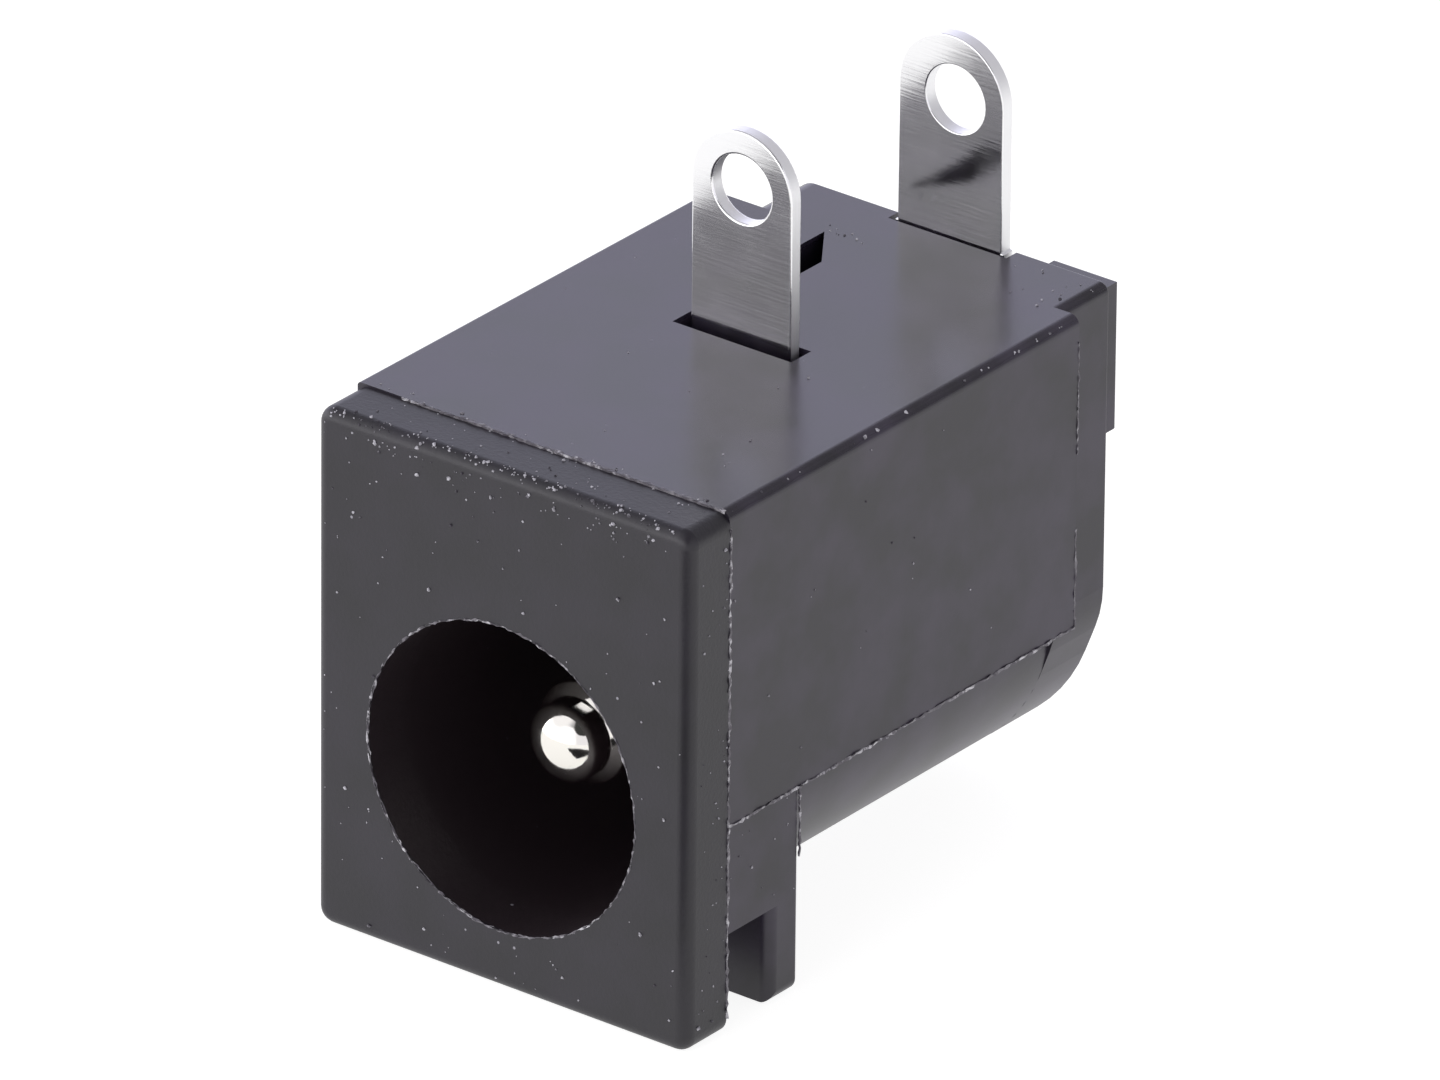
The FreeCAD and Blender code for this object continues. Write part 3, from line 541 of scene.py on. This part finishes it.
# Lines of flash on each side: on the flange's edge or the body's, from and to in depth and
# height, width, and how far the corners are shaken
FLASH_LINES = (
    ("flange", (FLANGE_BACK, 6.2), (FLANGE_BACK, -4.15), 0.05, 0.03),
    ("body", (FLANGE_BACK, CHEEK_LOW), (BODY_END, CHEEK_LOW), 0.05, 0.03),
    ("body", (FOOT_BACK, CHEEK_LOW), (FOOT_BACK, -1.6), 0.04, 0.025),
    ("body", (BODY_END, 2.0), (BODY_END, CHEEK_LOW), 0.035, 0.03),
    ("body", (BODY_END, 6.0), (BODY_END, 3.6), 0.03, 0.025),
)


def ragged_bar(start, end, width, shake, seed):
    """Bar between two points in millimetres, cut across and shaken until it looks torn."""
    start, end = Vector(start) * MM, Vector(end) * MM
    run = end - start
    bpy.ops.object.select_all(action="DESELECT")
    bpy.ops.mesh.primitive_cube_add(
        size=1, location=(start + end) / 2, rotation=run.to_track_quat("X", "Z").to_euler(),
        scale=(run.length, width * MM, width * MM),
    )
    bar = bpy.context.object
    bpy.ops.object.transform_apply(location=True, rotation=True, scale=True)
    bpy.ops.object.mode_set(mode="EDIT")
    bpy.ops.mesh.select_mode(type="EDGE")
    bpy.ops.mesh.select_all(action="DESELECT")
    shape = bmesh.from_edit_mesh(bar.data)
    for edge in shape.edges:
        edge.select_set(edge.calc_length() > 0.9 * run.length)
    bpy.ops.mesh.subdivide(number_cuts=max(3, round(run.length / (FLASH_STEP * MM))))
    bpy.ops.mesh.select_all(action="SELECT")
    bpy.ops.transform.vertex_random(offset=shake * MM, uniform=0.3, seed=seed)
    bpy.ops.object.mode_set(mode="OBJECT")
    return bar


def join(name, pieces):
    """Make one piece of several."""
    bpy.ops.object.select_all(action="DESELECT")
    for piece in pieces:
        piece.select_set(True)
    bpy.context.view_layer.objects.active = pieces[0]
    bpy.ops.object.join()
    pieces[0].name = name
    return pieces[0]


top_line = [(x, FLANGE_BACK + 0.01, TOP - 0.03) for x in (-3.4, 4.35)]
bars = [ragged_bar(*top_line, width=0.06, shake=0.02, seed=1)]
for hand, first_seed in ((1, 15), (-1, 5)):
    edge_x = {"flange": hand * (FLANGE_SIDE - 0.01), "body": hand * (SIDE - 0.005)}
    for seed, (edge_of, start, end, width, shake) in enumerate(FLASH_LINES, first_seed):
        x = edge_x[edge_of]
        bars.append(ragged_bar((x, *start), (x, *end), width, shake, seed))
flash = join("flash", bars)
print("flash faces:", len(flash.data.polygons))

# %% [markdown]
# The round mouth has a burr of the same kind, where the core pin of the mould was pulled out. It is
# a thin ring that lies in the rim and is shaken like the bars.

# %% Burr round the mouth
MOUTH_RADIUS = 3.225
BURR_RADIUS, BURR_DEPTH, BURR_SHAKE = 0.02, 0.012, 0.03

bpy.ops.object.select_all(action="DESELECT")
bpy.ops.mesh.primitive_torus_add(
    location=(0, BURR_DEPTH * MM, 0), rotation=(math.pi / 2, 0, 0),
    major_radius=(MOUTH_RADIUS + 0.01) * MM, minor_radius=BURR_RADIUS * MM,
    major_segments=220, minor_segments=5,
)
burr = bpy.context.object
bpy.ops.object.transform_apply(location=True, rotation=True, scale=True)
bpy.ops.object.mode_set(mode="EDIT")
bpy.ops.mesh.select_all(action="SELECT")
bpy.ops.transform.vertex_random(offset=BURR_SHAKE * MM, uniform=0.3, seed=31)
bpy.ops.object.mode_set(mode="OBJECT")
burr.name = "mouth_burr"
print("burr faces:", len(burr.data.polygons))

# %% [markdown]
# Crumbs of torn plastic and dust cling to the black faces, most of them on the grained flange and
# along its upper front edge. One rough grain is modelled and then copied, each copy with a size,
# turn and place of its own. The places are random but seeded, so the crumbs lie the same each time.
# A crumb is put down on the nearest plastic, and left out where its place is over an opening.

# %% Crumbs
SNAP = 0.08 * MM
SMALLEST, LARGEST, MEAN_GROWTH = 0.012, 0.045, 0.009
ROUNDING, ROUNDING_Z = 0.27, 6.23

random.seed(7)
bpy.ops.object.select_all(action="DESELECT")
bpy.ops.mesh.primitive_ico_sphere_add(subdivisions=1, radius=MM)
grain_of_dust = bpy.context.object
bpy.ops.object.mode_set(mode="EDIT")
bpy.ops.mesh.select_all(action="SELECT")
bpy.ops.transform.vertex_random(offset=0.5 * MM, uniform=0.2, seed=5)
bpy.ops.object.mode_set(mode="OBJECT")


def on_front():
    """Point of the front face outside the mouth."""
    while True:
        x, z = random.uniform(-4.3, 4.3), random.uniform(-4.3, 6.2)
        if math.hypot(x, z) > MOUTH_RADIUS + 0.08:
            return x, 0.0, z


def along_top_edge():
    """Point on the front face close under its upper edge."""
    return random.uniform(-4.3, 4.2), 0.01, ROUNDING_Z - abs(random.gauss(0, 0.16))


def on_rounding():
    """Point on the rounded edge between the front face and the top of the flange."""
    angle = math.radians(min(90, random.gauss(62, 16)))
    x = random.uniform(-4.2, 4.2)
    return x, ROUNDING - ROUNDING * math.cos(angle), ROUNDING_Z + ROUNDING * math.sin(angle)


def patch(*ranges):
    """Function for a random point: each of x, y and z is fixed or drawn from a pair."""
    return lambda: [random.uniform(*r) if isinstance(r, tuple) else r for r in ranges]


def settle(point):
    """The nearest point of the plastic, or None where the place is over an opening."""
    for node_name in ("housing", "rear_cover"):
        found, place, *rest = nodes[node_name].closest_point_on_mesh(point)
        if found and (place - point).length < SNAP:
            return place
    return None


CRUMB_FIELDS = (
    (100, on_front),
    (60, along_top_edge),
    (170, on_rounding),
    # Top of the flange, and the front of the body's top
    (40, patch((-4.2, 4.2), (0.3, 1.2), 6.5)),
    (16, patch((-4.3, 4.3), (1.26, 1.5), TOP)),
    # Sides of the flange
    (40, patch(FLANGE_SIDE, (0.3, 1.2), (-4.1, 6.1))),
    (40, patch(-FLANGE_SIDE, (0.3, 1.2), (-4.1, 6.1))),
    # Foot, and sides of the body
    (14, patch(SIDE - 0.02, (1.3, 3.4), (-2.3, -0.2))),
    (16, patch(SIDE, (1.4, 12.0), (0, 6.2))),
    (26, patch(-SIDE, (1.4, 12.0), (0, 6.2))),
    # Top of the body, beside the switch slot and on the cover
    (16, patch((-4.2, 4.2), (1.5, 12.0), TOP)),
    (10, patch((-1.7, -0.7), (12.03, 12.3), TOP)),
    (14, patch((2.0, 4.0), (12.0, 13.5), TOP)),
    # Long edge between the top and the right side
    (20, patch((SIDE - 0.03, SIDE - 0.1), (1.4, 12.0), TOP - 0.06)),
)

settled = []
for count, place_of in CRUMB_FIELDS:
    for n in range(count):
        place = settle(Vector(place_of()) * MM)
        size = min(LARGEST, SMALLEST + random.expovariate(1 / MEAN_GROWTH))
        angle = random.uniform(0, 6.3)
        spin = Matrix.Rotation(angle, 4, Vector((random.random(), random.random(), 1)))
        if place is not None:
            settled.append(Matrix.Translation(place) @ spin @ Matrix.Scale(size, 4))
crumbs = []
for lie in settled:
    crumb = grain_of_dust.copy()
    crumb.data = grain_of_dust.data.copy()
    crumb.data.transform(lie)
    scene.collection.objects.link(crumb)
    crumbs.append(crumb)
bpy.data.objects.remove(grain_of_dust)
dust = join("crumbs", crumbs)
print("crumbs:", len(crumbs), "faces:", len(dust.data.polygons))

# %% [markdown]
# Torn thermoplastic turns pale where it was stretched, and stays black in between. So the flash and
# the burr are nearly black, with pale grains as big as the tears, in some stretches more than in
# others. The loose crumbs are thinner and mostly pale.

# %% Torn plastic
TEAR = 0.13 * MM
STRETCH = 1.4 * MM
DUST_PATCH = 0.3 * MM

# Black thermoplastic with stress-whitened tears: pale dots that make a torn edge glint
torn, tree = new_material("torn_black_plastic")
where = add(tree, "ShaderNodeTexCoord").outputs["Object"]
pale = spread(tree, noise(tree, where, TEAR, detail=2), 0.47, 0.62)
here = spread(tree, noise(tree, where, STRETCH, detail=1), 0.42, 0.58, 0.15, 1)
tone = between(tree, compute(tree, "MULTIPLY", pale, here), "5c585f", "c6c4c9")
coat(tree, Base_Color=tone, Roughness=0.5, IOR=PLASTIC_IOR)

# Plastic dust: two crumbs in three are pale, so they stand out as dots on the black faces
grey_dust, tree = new_material("plastic_dust")
where = add(tree, "ShaderNodeTexCoord").outputs["Object"]
pale = spread(tree, noise(tree, where, DUST_PATCH, detail=1), 0.38, 0.56)
coat(tree, Base_Color=between(tree, pale, "3e3a42", "bab8bf"), Roughness=0.7, IOR=1.5)
for piece, material in ((flash, torn), (burr, torn), (dust, grey_dust)):
    give(piece, material)
    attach(piece, "root")
print("torn plastic on: flash, mouth_burr; dust on: crumbs")
